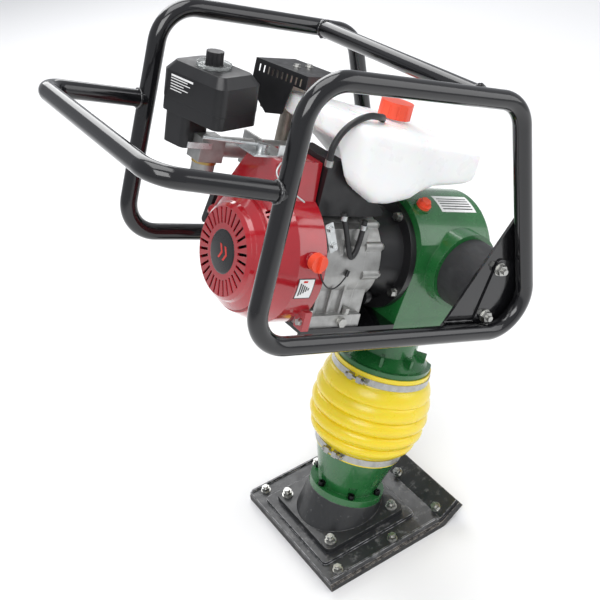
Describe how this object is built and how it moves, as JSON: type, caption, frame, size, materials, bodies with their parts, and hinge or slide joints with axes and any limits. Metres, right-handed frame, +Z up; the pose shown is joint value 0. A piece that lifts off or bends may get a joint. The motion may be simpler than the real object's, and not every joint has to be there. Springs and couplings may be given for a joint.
{
  "type": "jumping jack rammer",
  "caption": "Soil compaction rammer: a petrol engine drives a crank that beats a sprung, turned-up shoe through a bellows-covered leg under a tubular guide frame.",
  "frame": {"origin": "on the ground, at the centre of the flat part of the shoe's sole", "axes": "+Z up, +X the direction of travel (towards the turned-up toe), +Y the machine's left"},
  "size_m": [0.6793, 0.468, 1.0432],
  "materials": {
    "shoe_black": "satin, scuffed",
    "sole_black": "matte",
    "cast_black": "painted cast iron, satin",
    "zinc": "zinc plated",
    "black_oxide": "black oxide",
    "green_cast": "gloss over a fine cast texture",
    "bellows_yellow": "satin polyurethane",
    "spring_steel": "oiled",
    "guide_steel": "hard chrome",
    "gear_steel": "machined",
    "mount_rubber": "matte",
    "hose_rubber": "satin",
    "engine_aluminium": "die cast",
    "engine_black": "semi-gloss",
    "fan_red": "high gloss",
    "black_plastic": "satin",
    "orange_plastic": "satin",
    "clear_plastic": "clear, satin",
    "tank_plastic": "milky, satin",
    "muffler_steel": "heat tinted",
    "frame_black": "high gloss",
    "bearing_steel": "ground",
    "brush_zinc": "zinc plated sheet"
  },
  "bodies": {
    "foot": {"shoe_sole": "sole_black", "shoe_plate": "shoe_black", "shoe_bolts": "zinc", "foot_casting": "cast_black", "foot_nuts": "zinc", "spring_cylinder": "green_cast", "cylinder_bolts": "black_oxide", "lower_clamp": "zinc", "bellows": "bellows_yellow", "rammer_springs": "spring_steel"},
    "machine": {"gear_housing": "green_cast", "housing_cover": "green_cast", "housing_bolts": "zinc", "oil_plug": "orange_plastic", "guide_cylinder": "guide_steel", "upper_clamp": "zinc", "rubber_mounts": "mount_rubber", "clutch_housing": "engine_black", "crank_bearings": "bearing_steel", "crankcase": "engine_aluminium", "crankcase_cover": "engine_aluminium", "engine_bolts": "zinc", "engine_base_plate": "frame_black", "cylinder_block": "engine_aluminium", "rocker_cover": "engine_aluminium", "cooling_shroud": "engine_black", "fan_cover": "fan_red", "recoil_cover": "fan_red", "stop_wire": "black_plastic", "oil_filler_cap": "black_plastic", "spark_plug": "black_plastic", "carburettor": "engine_aluminium", "control_bracket": "brush_zinc", "air_cleaner_base": "black_plastic", "air_cleaner_cover": "black_plastic", "dust_dish": "clear_plastic", "muffler": "muffler_steel", "muffler_guard": "engine_black"},
    "crank": {"crank_gear": "gear_steel"},
    "rod": {"connecting_rod": "gear_steel"},
    "ram": {"ram": "gear_steel"},
    "pinion": {"pinion_shaft": "gear_steel", "clutch_drum": "gear_steel"},
    "engine_shaft": {"crankshaft": "gear_steel", "clutch_shoes": "gear_steel", "flywheel": "cast_black"},
    "pull_handle": {"recoil_handle": "black_plastic"},
    "switch": {"stop_switch": "orange_plastic"},
    "choke": {"choke_lever": "brush_zinc"},
    "throttle": {"throttle_lever": "brush_zinc"},
    "cleaner_knob": {"air_cleaner_knob": "black_plastic"},
    "cap": {"fuel_cap": "orange_plastic"},
    "frame": {"near_loop": "frame_black", "far_loop": "frame_black", "cross_tube": "frame_black", "operator_grip": "frame_black", "gussets": "frame_black", "mount_bolts": "zinc", "fuel_tank": "tank_plastic", "fuel_hose": "hose_rubber"}
  },
  "joints": [
    {"name": "housing_slide", "type": "slide", "parent": "foot", "child": "machine", "axis": [0.3746, 0, 0.9272], "range_m": [-0.02, 0.03], "stiffness_N_per_m": 40000, "springref_m": 0.013, "deforming": ["bellows", "rammer_springs"]},
    {"name": "ram_slide", "type": "slide", "parent": "machine", "child": "ram", "axis": [0.3746, 0, 0.9272], "range_m": [0, 0.04]},
    {"name": "crank_spin", "type": "hinge", "parent": "machine", "child": "crank", "pos_m": [0.16755, 0, 0.46915], "axis": [0.9272, 0, -0.3746], "continuous": true},
    {"name": "rod_pivot", "type": "hinge", "parent": "crank", "child": "rod", "pos_m": [0.16006, 0, 0.45061], "axis": [0.9272, 0, -0.3746], "continuous": true},
    {"name": "pinion_spin", "type": "hinge", "parent": "machine", "child": "pinion", "pos_m": [0.20202, 0, 0.55446], "axis": [0.9272, 0, -0.3746], "continuous": true},
    {"name": "engine_spin", "type": "hinge", "parent": "machine", "child": "engine_shaft", "pos_m": [-0.11323, 0, 0.68182], "axis": [0.9272, 0, -0.3746], "continuous": true},
    {"name": "frame_sway", "type": "hinge", "parent": "machine", "child": "frame", "pos_m": [0.21578, 0, 0.56184], "axis": [0, 1, 0], "range_deg": [-1.5, 1.5], "stiffness_Nm_per_rad": 4000},
    {"name": "recoil_pull", "type": "slide", "parent": "machine", "child": "pull_handle", "axis": [0.0906, 0.9703, 0.2243], "range_m": [0, 0.15], "stiffness_N_per_m": 40, "springref_m": -0.05},
    {"name": "stop_turn", "type": "hinge", "parent": "machine", "child": "switch", "pos_m": [-0.08009, -0.125, 0.7051], "axis": [0, -1, 0], "range_deg": [0, 45]},
    {"name": "choke_turn", "type": "hinge", "parent": "machine", "child": "choke", "pos_m": [-0.14344, 0.068, 0.85797], "axis": [0, -1, 0], "range_deg": [0, 30]},
    {"name": "throttle_turn", "type": "hinge", "parent": "machine", "child": "throttle", "pos_m": [-0.08955, -0.008, 0.86855], "axis": [0.3746, 0, 0.9272], "range_deg": [0, 25]},
    {"name": "knob_spin", "type": "hinge", "parent": "machine", "child": "cleaner_knob", "pos_m": [-0.10127, 0.09717, 0.96989], "axis": [0.2627, -0.0315, 0.9644], "continuous": true},
    {"name": "cap_lift", "type": "slide", "parent": "frame", "child": "cap", "axis": [0.3746, 0, 0.9272], "range_m": [0, 0.05]}
  ],
  "couplings": [
    {"joint": "rod_pivot", "follows": "crank_spin", "ratio": -1},
    {"joint": "pinion_spin", "follows": "crank_spin", "ratio": -5}
  ]
}
